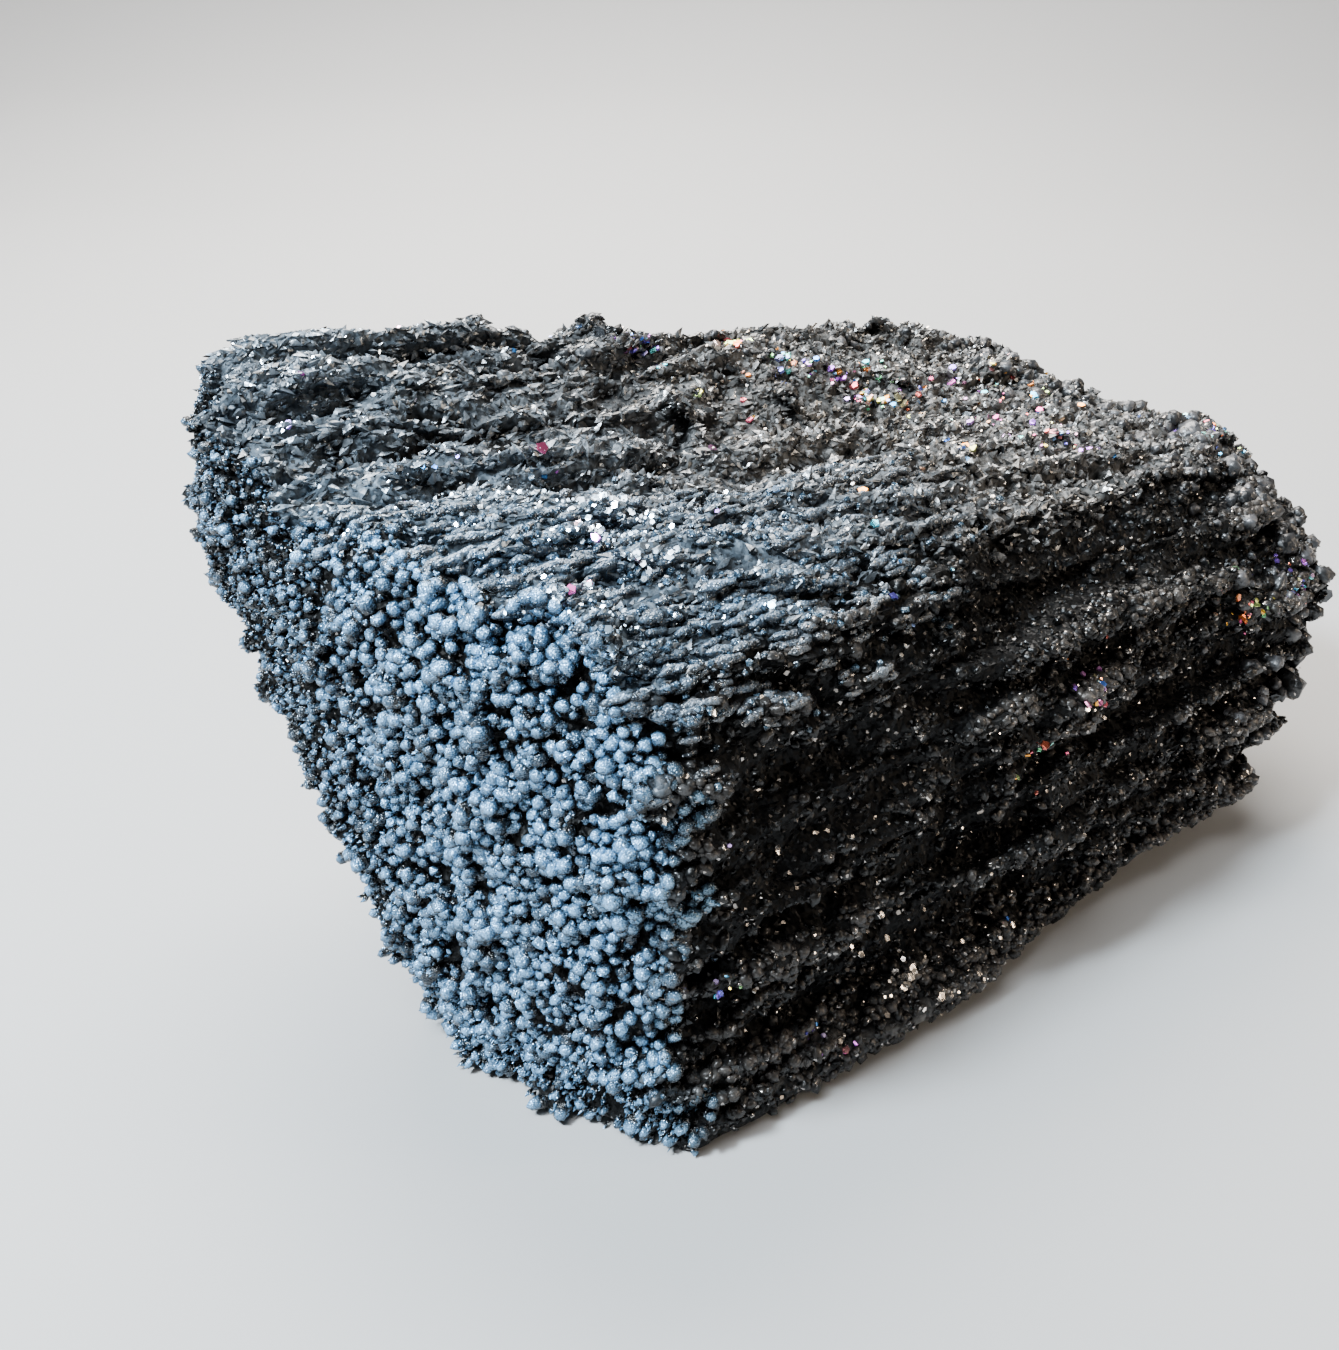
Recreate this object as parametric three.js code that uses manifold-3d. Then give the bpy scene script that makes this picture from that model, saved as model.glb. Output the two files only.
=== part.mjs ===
// Silicon carbide crystal lump, broken from the crust that grows round the core of a
// resistance furnace. It is one mass of fused crystal columns that all grew one way.
//
// Millimetres, +Z up. The columns run along +X, from the end where their rounded tips
// form a crust of nodules to the coarse end, where flat crystals stand out. -Y is the
// broken flank that shows the columns from the side. The top has a long hollow between
// a low crest at the front and a high rim at the back. The lump rests on a small flat
// break underneath. The origin is the middle of its outer box, on the resting plane.
import * as THREE from "three";
import { LoftGeometry } from "three/addons/geometries/LoftGeometry.js";
import { ImprovedNoise } from "three/addons/math/ImprovedNoise.js";
import { MeshSurfaceSampler } from "three/addons/math/MeshSurfaceSampler.js";
import { mergeVertices } from "three/addons/utils/BufferGeometryUtils.js";
import Module from "manifold-3d";

const wasm = await Module();
wasm.setup();
const { clamp, lerp, smoothstep } = THREE.MathUtils;

// ---- driving dimensions ----------------------------------------------------------

const columnLength = 130; // from the nodule end to the coarse end, along the flank
const noduleEndSweep = 21; // how far the nodule end runs back-left across its width
const noduleEndWidth = 70; // the width over which it does so
const frontFlankY = -45;
const coarseEndFoot = -13; // where the coarse end starts at its foot, from columnLength
const coarseEndOverhang = 27; // how far its top then leans out
const coarseEndHeight = 50;

// Cross-sections of the mass at places along the columns. Each corner is [y, z].
const corners = [
  "toe", "base", "heel", "undercut", "backFlank", "backShoulder", "rim",
  "innerSlope", "hollow", "crest", "shoulder", "flankHigh", "flankLow", "recess", "ledge",
];
const stepsFromCorner = [2, 3, 3, 3, 4, 3, 5, 4, 5, 5, 4, 4, 2, 2, 2];
const sections = [
  {
    at: 0,
    toe: [-47, -1], base: [-31, -3], heel: [-10, 2], undercut: [4, 23], backFlank: [23, 46],
    backShoulder: [47, 64], rim: [44, 79], innerSlope: [25, 76], hollow: [4, 71],
    crest: [-19, 69], shoulder: [-40, 61], flankHigh: [-45, 43], flankLow: [-45, 22],
    recess: [-44, 12], ledge: [-48, 5],
  },
  {
    at: 26,
    toe: [-46, 1], base: [-22, -2], heel: [7, 2], undercut: [20, 20], backFlank: [36, 42],
    backShoulder: [47, 63], rim: [39, 79], innerSlope: [21, 72], hollow: [3, 66],
    crest: [-18, 71], shoulder: [-39, 61], flankHigh: [-45, 42], flankLow: [-46, 22],
    recess: [-43, 13], ledge: [-48, 7],
  },
  {
    at: 56,
    toe: [-45, 2], base: [-12, -2], heel: [25, 2], undercut: [37, 18], backFlank: [46, 40],
    backShoulder: [45, 63], rim: [35, 75], innerSlope: [19, 66], hollow: [3, 59],
    crest: [-17, 67], shoulder: [-37, 58], flankHigh: [-44, 41], flankLow: [-46, 22],
    recess: [-42, 14], ledge: [-47, 8],
  },
  {
    at: 96,
    toe: [-42, 3], base: [-10, -2], heel: [24, 2], undercut: [36, 18], backFlank: [42, 38],
    backShoulder: [41, 58], rim: [34, 70], innerSlope: [19, 63], hollow: [4, 57],
    crest: [-14, 62], shoulder: [-31, 53], flankHigh: [-41, 38], flankLow: [-43, 23],
    recess: [-41, 15], ledge: [-44, 9],
  },
  {
    at: 113,
    toe: [-40, 4], base: [-8, -1], heel: [19, 3], undercut: [32, 18], backFlank: [38, 36],
    backShoulder: [38, 54], rim: [32, 67], innerSlope: [18, 61], hollow: [5, 57],
    crest: [-12, 59], shoulder: [-30, 51], flankHigh: [-40, 37], flankLow: [-42, 23],
    recess: [-40, 16], ledge: [-42, 10],
  },
  {
    at: 120,
    toe: [-39, 5], base: [-8, 1], heel: [15, 4], undercut: [27, 17], backFlank: [31, 32],
    backShoulder: [30, 46], rim: [24, 56], innerSlope: [14, 59], hollow: [3, 58],
    crest: [-11, 57], shoulder: [-30, 50], flankHigh: [-40, 37], flankLow: [-41, 23],
    recess: [-40, 16], ledge: [-41, 11],
  },
  {
    at: columnLength,
    toe: [-36, 7], base: [-10, 4], heel: [10, 7], undercut: [19, 18], backFlank: [23, 30],
    backShoulder: [21, 42], rim: [17, 52], innerSlope: [9, 56], hollow: [0, 56],
    crest: [-12, 55], shoulder: [-29, 48], flankHigh: [-38, 37], flankLow: [-39, 23],
    recess: [-38, 16], ledge: [-38, 11],
  },
];

// Rings of the loft: how far along the columns, and how much each end draws in.
const noduleEndRings = [[0, 0.5], [0.8, 0.74], [2.6, 0.89], [6.5, 0.975]];
const coarseEndRings = [[6.5, 0.985], [2.6, 0.92], [0.8, 0.78], [0, 0.52]];
const plainRings = 15;

const ridgeHeight = 2.5; // columns standing out along the flanks and the top
const ridgeRun = 23; // how far along the columns a ridge keeps its strength
const swellHeight = 2.1; // slow swelling of the whole surface
const swellRun = 34;
const sweepRun = 70; // the sweep of the nodule end dies out this far along the columns
const leanStart = 60; // and the lean of the coarse end starts here

// What grows on the mass. No two of a kind are closer than their spacing. Sunk is how far
// the middle of a piece lies under the surface, as a share of its radius.
const noduleCrust = {
  seed: 11,
  spacing: 6.6,
  radius: [3.1, 4.4],
  sunk: [0.55, 0.2],
  wrap: 12, // how far the crust reaches round from the nodule end
  above: 1,
};
const standingColumns = {
  seed: 29,
  spacing: 20,
  radius: [2.8, 4.2],
  length: [18, 40],
  taper: 0.55,
  sides: 5,
  sunk: 0.5,
  clearOfNodules: 26,
  clearOfCoarseEnd: 20,
  above: 12,
};
const flatCrystals = {
  seed: 37,
  spacing: 14.5,
  radius: [3.2, 5.6],
  thickness: 2.2,
  sides: 6,
  sunk: 0.2,
  wrap: 14, // how far they reach round from the coarse end
  above: 9,
  hollowFront: -5, // behind this line they also stand in the hollow and on the rim
  hollowStart: 25,
};

// ---- small helpers ---------------------------------------------------------------

const noise = new ImprovedNoise();

// A repeatable random number from 0 to 1 for each call.
function randomSource(seed) {
  let state = seed;
  return () => {
    state = (state * 1664525 + 1013904223) % 4294967296;
    return state / 4294967296;
  };
}

// A closed three.js geometry as a manifold-3d solid.
function solidOf(geometry) {
  const bare = new THREE.BufferGeometry().copy(geometry);
  bare.deleteAttribute("normal");
  bare.deleteAttribute("uv");
  const merged = mergeVertices(bare, 1e-4);
  return new wasm.Manifold(new wasm.Mesh({
    numProp: 3,
    vertProperties: merged.attributes.position.array,
    triVerts: new Uint32Array(merged.index.array),
  }));
}

function geometryOf(solid) {
  const mesh = solid.getMesh();
  return new THREE.BufferGeometry()
    .setAttribute("position", new THREE.BufferAttribute(new Float32Array(mesh.vertProperties), 3))
    .setIndex(new THREE.BufferAttribute(new Uint32Array(mesh.triVerts), 1));
}

// ---- the mass --------------------------------------------------------------------

// The corner points of the cross-section at a place along the columns.
function cornersAt(along) {
  const next = clamp(sections.findIndex((s) => s.at >= along), 1, sections.length - 1);
  const [a, b] = [sections[next - 1], sections[next]];
  const share = clamp((along - a.at) / (b.at - a.at), 0, 1);
  return corners.map((name) => new THREE.Vector2(
    lerp(a[name][0], b[name][0], share),
    lerp(a[name][1], b[name][1], share),
  ));
}

// How far a point of the section at a place along the columns is shifted along X, so
// that the nodule end sweeps back across its width and the coarse end overhangs.
function shiftAlong(along, y, z) {
  const sweep = Math.sin((Math.PI / 2) * clamp((y - frontFlankY) / noduleEndWidth, 0, 1.5));
  const lean = Math.sqrt(clamp((z - 3) / coarseEndHeight, 0, 1.1));
  return -noduleEndSweep * sweep * (1 - smoothstep(along, 0, sweepRun))
    + (coarseEndFoot + coarseEndOverhang * lean) * smoothstep(along, leanStart, columnLength);
}

// How far the surface stands out at one line of the outline, place along the columns
// and height. A line keeps its sign all the way, which makes it a column or a groove.
function ridge(line, along, z) {
  const side = noise.noise(line * 0.83, 3.1, 7.7) + (line % 2 ? 0.45 : -0.45);
  const strength = 0.7 + 0.6 * noise.noise(line * 0.31, along / ridgeRun, 1.3);
  const swell = noise.noise(line / 7, along / swellRun, 9.4);
  return (ridgeHeight * side * strength + swellHeight * swell) * smoothstep(z, 2, 12);
}

function ring(along, drawIn) {
  const outline = new THREE.CatmullRomCurve3(
    cornersAt(along).map((p) => new THREE.Vector3(p.x, p.y, 0)), true, "centripetal");
  const middle = outline.points.reduce((sum, p) => sum.add(p), new THREE.Vector3())
    .divideScalar(outline.points.length);
  const points = [];
  stepsFromCorner.forEach((steps, corner) => {
    for (let step = 0; step < steps; step++) {
      const t = (corner + step / steps) / corners.length;
      const p = outline.getPoint(t);
      const tangent = outline.getTangent(t);
      const out = ridge(points.length, along, p.y) * drawIn;
      p.add(new THREE.Vector3(tangent.y, -tangent.x, 0).multiplyScalar(out));
      p.sub(middle).multiplyScalar(drawIn).add(middle);
      points.push(new THREE.Vector3(along + shiftAlong(along, p.x, p.y), p.x, p.y));
    }
  });
  return points;
}

function massGeometry() {
  const first = noduleEndRings.at(-1)[0];
  const last = columnLength - coarseEndRings[0][0];
  const rings = noduleEndRings.map(([at, drawIn]) => ring(at, drawIn));
  for (let i = 1; i < plainRings; i++) rings.push(ring(lerp(first, last, i / plainRings), 1));
  coarseEndRings.forEach(([at, drawIn]) => rings.push(ring(columnLength - at, drawIn)));
  return new LoftGeometry(rings, { capStart: true, capEnd: true });
}

// ---- what grows on it ------------------------------------------------------------

// Spots on the mass for one kind of growth, where wanted says so.
function spotsOn(geometry, kind, tries, wanted) {
  const random = randomSource(kind.seed);
  const sampler = new MeshSurfaceSampler(new THREE.Mesh(geometry))
    .setRandomGenerator(random).build();
  const spots = [];
  for (let i = 0; i < tries; i++) {
    const at = new THREE.Vector3();
    const out = new THREE.Vector3();
    sampler.sample(at, out);
    if (wanted(at, out) && spots.every((s) => s.at.distanceTo(at) > kind.spacing))
      spots.push({ at, out, random: random() });
  }
  return spots;
}

const noduleEndX = (at) => shiftAlong(0, at.y, at.z);
const coarseEndX = (at) => columnLength + shiftAlong(columnLength, at.y, at.z);

function noduleSpots(mass) {
  return spotsOn(mass, noduleCrust, 7000, (at) =>
    at.x < noduleEndX(at) + noduleCrust.wrap && at.z > noduleCrust.above);
}

// On the front flank and the top, between the two ends.
function columnSpots(mass) {
  return spotsOn(mass, standingColumns, 2500, (at, out) =>
    at.x > noduleEndX(at) + standingColumns.clearOfNodules
    && at.x < coarseEndX(at) - standingColumns.clearOfCoarseEnd
    && at.z > standingColumns.above && (out.y < -0.3 || out.z > 0.4));
}

// All round the coarse end, in the hollow and along the rim.
function flatCrystalSpots(mass) {
  return spotsOn(mass, flatCrystals, 6000, (at, out) => {
    const atCoarseEnd = at.x > coarseEndX(at) - flatCrystals.wrap;
    const inHollow = out.z > 0.3 && at.y > flatCrystals.hollowFront && at.x > flatCrystals.hollowStart;
    return at.z > flatCrystals.above && (atCoarseEnd || inHollow);
  });
}

// A turn that brings one direction onto another.
const turnOnto = (from, to) => new THREE.Quaternion().setFromUnitVectors(from, to);

// A rounded column tip, which points out of the surface and towards the nodule end.
function nodule({ at, out, random }) {
  const radius = lerp(...noduleCrust.radius, random);
  const tip = new THREE.IcosahedronGeometry(radius, 0).rotateX(random * 9).rotateY(random * 23);
  const outwards = out.clone().add(new THREE.Vector3(-0.6, 0, 0)).normalize();
  const depth = radius * lerp(...noduleCrust.sunk, random);
  return tip.translate(...at.clone().addScaledVector(outwards, -depth));
}

// A column that stands out of the flank or the top, along the growth direction.
function column({ at, out, random }) {
  const length = lerp(...standingColumns.length, random);
  const radius = lerp(...standingColumns.radius, random);
  const { taper, sides, sunk } = standingColumns;
  const prism = new THREE.CylinderGeometry(radius * taper, radius, length, sides, 1);
  prism.rotateZ(-Math.PI / 2).rotateX(random * 11);
  const growth = new THREE.Vector3(1, 0, 0);
  prism.applyQuaternion(turnOnto(growth, growth.clone().projectOnPlane(out).normalize()));
  return prism.translate(...at.clone().addScaledVector(out, -radius * sunk));
}

// A flat six-sided crystal, half sunk in the surface and turned every way.
function flatCrystal({ at, out, random }) {
  const radius = lerp(...flatCrystals.radius, random);
  const { thickness, sides, sunk } = flatCrystals;
  const crystal = new THREE.CylinderGeometry(radius, radius, thickness, sides, 1);
  crystal.rotateX(0.4 + random * 17).rotateZ(random * 31);
  return crystal.translate(...at.clone().addScaledVector(out, -radius * sunk));
}

// The mass with all that grows on it, cut flat where it rests.
function lumpGeometry() {
  const mass = massGeometry();
  const grown = [
    ...noduleSpots(mass).map(nodule),
    ...columnSpots(mass).map(column),
    ...flatCrystalSpots(mass).map(flatCrystal),
  ];
  const lump = wasm.Manifold.union([solidOf(mass), ...grown.map(solidOf)]);
  const side = 3 * columnLength;
  const belowRest = new THREE.BoxGeometry(side, side, side).translate(0, 0, -side / 2);
  return geometryOf(lump.subtract(solidOf(belowRest)));
}

// ---- assembly --------------------------------------------------------------------

const geometry = lumpGeometry();
geometry.computeBoundingBox();
const middle = geometry.boundingBox.getCenter(new THREE.Vector3());
geometry.translate(-middle.x, -middle.y, 0);

const lump = new THREE.Mesh(geometry, new THREE.MeshStandardMaterial({
  name: "silicon_carbide",
  color: 0x2b3036,
  roughness: 0.45,
  metalness: 0.6,
}));
lump.name = "crystal_lump";

const part = new THREE.Group();
part.add(lump);
export default part;
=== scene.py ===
import math

import bmesh
import bpy
import numpy as np
from mathutils import Matrix, Vector, noise


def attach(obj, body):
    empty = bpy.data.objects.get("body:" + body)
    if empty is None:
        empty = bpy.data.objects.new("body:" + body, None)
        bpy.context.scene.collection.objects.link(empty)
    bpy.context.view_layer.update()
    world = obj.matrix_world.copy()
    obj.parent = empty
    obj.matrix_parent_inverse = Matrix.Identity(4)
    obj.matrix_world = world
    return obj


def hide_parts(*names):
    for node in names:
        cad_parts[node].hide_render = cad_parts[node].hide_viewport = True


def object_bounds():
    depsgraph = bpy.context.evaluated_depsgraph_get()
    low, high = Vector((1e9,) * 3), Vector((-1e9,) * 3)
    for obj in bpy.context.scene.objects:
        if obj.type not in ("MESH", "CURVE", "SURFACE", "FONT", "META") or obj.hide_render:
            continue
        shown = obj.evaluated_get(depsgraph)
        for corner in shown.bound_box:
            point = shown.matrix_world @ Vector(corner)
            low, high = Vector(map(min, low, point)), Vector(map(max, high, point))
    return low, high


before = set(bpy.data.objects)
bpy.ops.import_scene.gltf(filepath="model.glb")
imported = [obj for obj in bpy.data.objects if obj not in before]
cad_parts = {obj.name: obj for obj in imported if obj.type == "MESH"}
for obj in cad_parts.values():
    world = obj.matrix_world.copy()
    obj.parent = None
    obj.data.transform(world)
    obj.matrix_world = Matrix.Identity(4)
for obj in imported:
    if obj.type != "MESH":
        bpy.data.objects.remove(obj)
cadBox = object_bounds()
boxLow, boxHigh = (np.array(corner) for corner in cadBox)
mm = 0.001


# places are in metres, and lengths in the dictionaries are in mm unless a note says otherwise;
# a pair of numbers is a range, or a band over which something fades in

def unit(rows):
    return rows / np.maximum(np.linalg.norm(rows, axis=-1, keepdims=True), 1e-9)


def smoothStep(low, high, value):
    t = np.clip((value - low) / (high - low), 0, 1)
    return t * t * (3 - 2 * t)


def fadeOut(low, high, value):
    return 1 - smoothStep(low, high, value)


def atLeast(least, share):
    return least + (1 - least) * share


def summed(total, weights, *values):
    for weight, value in zip(weights, values):
        total = total + weight * value
    return total


def addObject(name, mesh):
    obj = bpy.data.objects.new(name, mesh)
    bpy.context.scene.collection.objects.link(obj)
    return obj


def pointArrays(mesh):
    places = np.empty(len(mesh.vertices) * 3)
    mesh.vertices.foreach_get("co", places)
    normals = np.empty(len(mesh.vertices) * 3)
    mesh.vertex_normals.foreach_get("vector", normals)
    return places.reshape(-1, 3), normals.reshape(-1, 3)


def addValues(mesh, name, values):
    attribute = mesh.attributes.new(name, "FLOAT", "POINT")
    attribute.data.foreach_set("value", np.asarray(values, np.float32))


view = {
    "place": (-123.43, -137.14, 125.0),
    "pitch": -28.0,   # degrees below level
    "turn": -35.0,    # from +Y
    "focal": 1340.0,  # in pixels of the long side
    "longSide": 1350.0,
    "sensor": 36.0,
    "clip": (0.01, 50),  # in metres
}


def makeCamera():
    data = bpy.data.cameras.new("camera")
    data.sensor_width = view["sensor"]
    data.lens = view["focal"] / view["longSide"] * view["sensor"]
    data.clip_start, data.clip_end = view["clip"]
    camera = addObject("camera", data)
    camera.location = Vector(view["place"]) * mm
    camera.rotation_euler = (math.radians(90 + view["pitch"]), 0, math.radians(view["turn"]))
    bpy.context.scene.camera = camera


makeCamera()
print("camera placed")


# the parts of the lump
noduleEnd = {  # it sweeps back across the width, and its crust faces -X
    "x": -60.9, "sweep": 21.0, "front": -44.6, "width": 70.0, "facing": (0.22, 0.62), "fade": (5, 10),
}
top = {"edge": -30.0, "slope": 0.165, "blend": (-2.5, 2.5), "facing": (0.2, 0.5)}  # behind the front edge
recess = {  # the band just under the front edge of the top, made black by painted shade on its grains
    "inner": (-15, -10), "outer": (-2.5, 0.5), "start": (-18, -6), "end": (40, 56), "above": (42, 48),
}
foot = {  # the gritty ledge along the foot of the front flank
    "bottom": (1, 3), "top": (8, 11), "start": (-56, -40), "back": (-30, -20), "facing": 0.2,
}
darkRim = {"share": 0.6, "y": (22, 38), "x": (-60, -20)}  # along the back of the top
paintedCoolLighting = {  # blue-grey painted cool light, most at the nodule end and on the front of the top, where the cool key lamp falls
    "reach": (2, 95), "flankEdge": (-4, 2), "flankStart": (1, 8), "lessOnFlank": 0.92,
    "back": (2, 24), "lessAtBack": 0.25,
}


def sharesAt(places, normals):
    # how far each place is past the nodule end and behind the top's front edge, in mm,
    # and from 0 to 1 how much it belongs to each part
    x, y, z = (places / mm).T
    turn = np.clip((y - noduleEnd["front"]) / noduleEnd["width"], 0, 1.5)
    past = x - noduleEnd["x"] + noduleEnd["sweep"] * np.sin(math.pi / 2 * turn)
    behind = y - top["edge"] - top["slope"] * x
    upward = smoothStep(*top["facing"], normals[:, 2])
    across = smoothStep(*recess["inner"], behind) * fadeOut(*recess["outer"], behind)
    along = smoothStep(*recess["start"], x) * fadeOut(*recess["end"], x)
    low = smoothStep(*foot["bottom"], z) * fadeOut(*foot["top"], z) * smoothStep(*foot["start"], x)
    flank = fadeOut(*paintedCoolLighting["flankEdge"], behind) * smoothStep(*paintedCoolLighting["flankStart"], past)
    back = smoothStep(*paintedCoolLighting["back"], y) * upward
    # painted cool light: fades along the lump from the nodule end, is mostly gone on the shaded flank, and is
    # less on the back of the top
    frost = fadeOut(*paintedCoolLighting["reach"], past) * (1 - paintedCoolLighting["lessOnFlank"] * flank)
    return {
        "x": x, "y": y, "z": z, "past": past, "behind": behind,
        "top": upward * smoothStep(*top["blend"], behind),
        "recess": across * along * smoothStep(*recess["above"], z),
        "foot": low * fadeOut(*foot["back"], y) * (normals[:, 1] < foot["facing"]),
        "rim": darkRim["share"] * smoothStep(*darkRim["y"], y) * smoothStep(*darkRim["x"], x),
        "frost": frost * (1 - paintedCoolLighting["lessAtBack"] * back),
    }


# the mass: the CAD lump, finely meshed, with columns and grooves worked into it
mass = {
    "weld": 0.001,
    "voxel": 1.0,
    "softenSteps": 11,       # takes the coarse facets out before the fine relief
    "restBand": (0.6, 5.0),  # above the floor, where the relief fades in
    # relief, stretched along the columns, and where the noise for it starts
    "bend": {"run": 60, "width": 40, "height": 5, "start": (0, 0), "rise": 0.6},
    "ledge": {"run": 42, "width": 6.6, "height": 3.3, "start": (0, 7), "onGrit": 0.35},
    "column": {"run": 13, "width": 2.9, "height": 1.9, "start": (3, 0)},
    "grit": {"run": 3.4, "width": 3.0, "height": 1.7, "start": (9, 0)},
    "knob": {"run": 2.4, "width": 1.6, "height": 0.9, "start": (0, 20)},
    "gritty": {"share": 0.75, "x": (-20, 20), "z": (46, 60)},  # where grit takes the columns' place
    "underTips": (0.75, 0.3, 0),  # how much lower ledges, columns and knobs are under the nodules
    "sink": 1.35,                 # how far the whole surface lies under the CAD one
    "tipSink": 0.8,               # and how much further under the nodules
    "leastRoom": 0.02, "leastFacing": 0.05,
    # painted light and shade on the mass: darker low in ledges and dents (painted shade), paler on the top
    # (painted light from above)
    "ledgeShade": 0.5, "dentShade": 0.6, "topLight": 1.05, "tipsLessCoolLight": 0.9,
    # deep hollows: place, reach along each axis, depth
    "dents": [
        ((-27, -7, 66), (11, 6, 8), 4.8), ((-8, -1, 63), (9, 4, 8), 2.8), ((12, -37, 55), (24, 7, 3.6), 4.4),
        ((-38, -42, 47), (9, 7, 5), 2.8), ((-12, -45, 30), (30, 7, 3), 2), ((2, -46, 15), (38, 7, 3.2), 2.6),
        ((40, -38, 34), (20, 8, 2.6), 2.2), ((-62, 18, 74), (9, 3, 6), 2.8), ((-44, 33, 77), (14, 3, 6), 2.4),
        ((-40, 20, 74), (12, 2.6, 6), 2.2), ((39, 34, 72), (5, 4, 6), 2.4), ((-79, 38, 71), (4, 4, 5), 3.6),
    ],
}


def noiseOf(kind, x, y, z):
    startX, startZ = kind["start"]
    return noise.noise(Vector((x / kind["run"] + startX, y / kind["width"], z / kind["width"] + startZ)))


def billow(kind, x, y, z):
    # rounded crests with sharp grooves between them
    return (2 * abs(noiseOf(kind, x, y, z)) - 0.5) * kind["height"]


def reliefAt(x, y, z):
    # grooves on the sides and cells on the ends
    gritty, bend = mass["gritty"], mass["bend"]
    streaky = 1 - gritty["share"] * float(smoothStep(*gritty["x"], x) * smoothStep(*gritty["z"], z))
    aside = bend["height"] * noiseOf(bend, x, y, z)
    y += aside
    z += bend["rise"] * aside
    ledge = billow(mass["ledge"], x, y, z) * atLeast(mass["ledge"]["onGrit"], streaky)
    column = billow(mass["column"], x, y, z) * streaky + billow(mass["grit"], x, y, z) * (1 - streaky)
    return ledge, column, noiseOf(mass["knob"], x, y, z) * mass["knob"]["height"]


def dentAt(places):
    total = np.zeros(len(places))
    for middle, reach, depth in mass["dents"]:
        away = ((places / mm - middle) / reach) ** 2
        total += depth * np.exp(-away.sum(axis=1))
    return total


def finelyMeshed(source):
    work = bmesh.new()
    work.from_mesh(source.data)
    bmesh.ops.remove_doubles(work, verts=work.verts, dist=mass["weld"] * mm)
    mesh = bpy.data.meshes.new("crystalMass")
    work.to_mesh(mesh)
    work.free()
    obj = addObject("crystal_mass", mesh)
    remesh = obj.modifiers.new("remesh", "REMESH")
    remesh.mode = "VOXEL"
    remesh.voxel_size = mass["voxel"] * mm
    soften = obj.modifiers.new("soften", "SMOOTH")
    soften.iterations = mass["softenSteps"]
    seen = obj.evaluated_get(bpy.context.evaluated_depsgraph_get())
    fine = bpy.data.meshes.new_from_object(seen)
    obj.modifiers.clear()
    obj.data = fine
    return obj


def roomFor(places, normals):
    # how far each place can move out before it meets the lump's own box, in mm
    room = np.where(normals > 0, boxHigh - places, places - boxLow)
    room = room / np.maximum(abs(normals), mass["leastFacing"])
    return np.maximum(room.min(axis=1) / mm, mass["leastRoom"])


def makeMass():
    obj = finelyMeshed(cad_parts["crystal_lump"])
    places, normals = pointArrays(obj.data)
    relief = np.array([reliefAt(*p) for p in places / mm])
    shares = sharesAt(places, normals)
    crust = smoothStep(*noduleEnd["facing"], -normals[:, 0]) * fadeOut(*noduleEnd["fade"], shares["past"])
    dent = dentAt(places)
    out = (relief * (1 - np.outer(crust, mass["underTips"]))).sum(axis=1)
    out = out - mass["sink"] - mass["tipSink"] * crust - dent
    room = roomFor(places, normals)
    out = np.where(out > 0, room * (1 - np.exp(-np.maximum(out, 0) / room)), out)
    moved = places + normals * (out * smoothStep(*mass["restBand"], shares["z"]))[:, None] * mm
    moved[:, 2] = np.maximum(moved[:, 2], places[:, 2].min())
    moved = np.clip(moved, boxLow, boxHigh)
    obj.data.vertices.foreach_set("co", moved.ravel())
    obj.data.update()
    # the height sets how pale the mass is: painted shade low in ledges, grooves and dents, painted light on
    # the top
    height = relief[:, 0] * mass["ledgeShade"] + relief[:, 1] - mass["dentShade"] * dent
    up = shares["top"] * (1 - crust)
    addValues(obj.data, "height", height + mass["topLight"] * up)
    # less painted cool light on the mass under the nodules
    addValues(obj.data, "frost", shares["frost"] * (1 - mass["tipsLessCoolLight"] * crust))
    # tone: paler on the top (painted light from above) and on the foot ledge, near black under the nodules
    # (painted shade between them), darker along the back rim
    tone = np.clip(up + shares["foot"], 0, 1) * (1 - crust) * (1 - shares["rim"])
    addValues(obj.data, "tone", tone)
    print("mass made,", len(obj.data.polygons), "faces")
    return obj, {"place": moved, "out": normals, "height": height, "crust": crust, "relief": relief[:, 1]}


# crystals grow on random spots of the mass's triangles

def massTriangles():
    massObject.data.calc_loop_triangles()
    corners = np.empty(len(massObject.data.loop_triangles) * 3, np.int32)
    massObject.data.loop_triangles.foreach_get("vertices", corners)
    return corners.reshape(-1, 3)


massObject, massPoints = makeMass()
triangles = massTriangles()
sideOne = massPoints["place"][triangles[:, 1]] - massPoints["place"][triangles[:, 0]]
sideTwo = massPoints["place"][triangles[:, 2]] - massPoints["place"][triangles[:, 0]]
triangleAreas = np.linalg.norm(np.cross(sideOne, sideTwo), axis=1)
growth = np.array([-1.0, 0, 0])  # the columns grew this way
boxMargin = 0.02                 # crystals that come this near the lump's own box are left out


def spaced(places, spacing):
    # the indices of places that keep the spacing from every earlier one
    cells = {}
    kept = []
    around = [(a, b, c) for a in (-1, 0, 1) for b in (-1, 0, 1) for c in (-1, 0, 1)]
    keys = np.floor(places / spacing).astype(int).tolist()
    for i, (key, p) in enumerate(zip(keys, places.tolist())):
        near = [q for a, b, c in around for q in cells.get((key[0] + a, key[1] + b, key[2] + c), ())]
        if all(math.dist(p, q) >= spacing for q in near):
            cells.setdefault(tuple(key), []).append(p)
            kept.append(i)
    return kept


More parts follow.
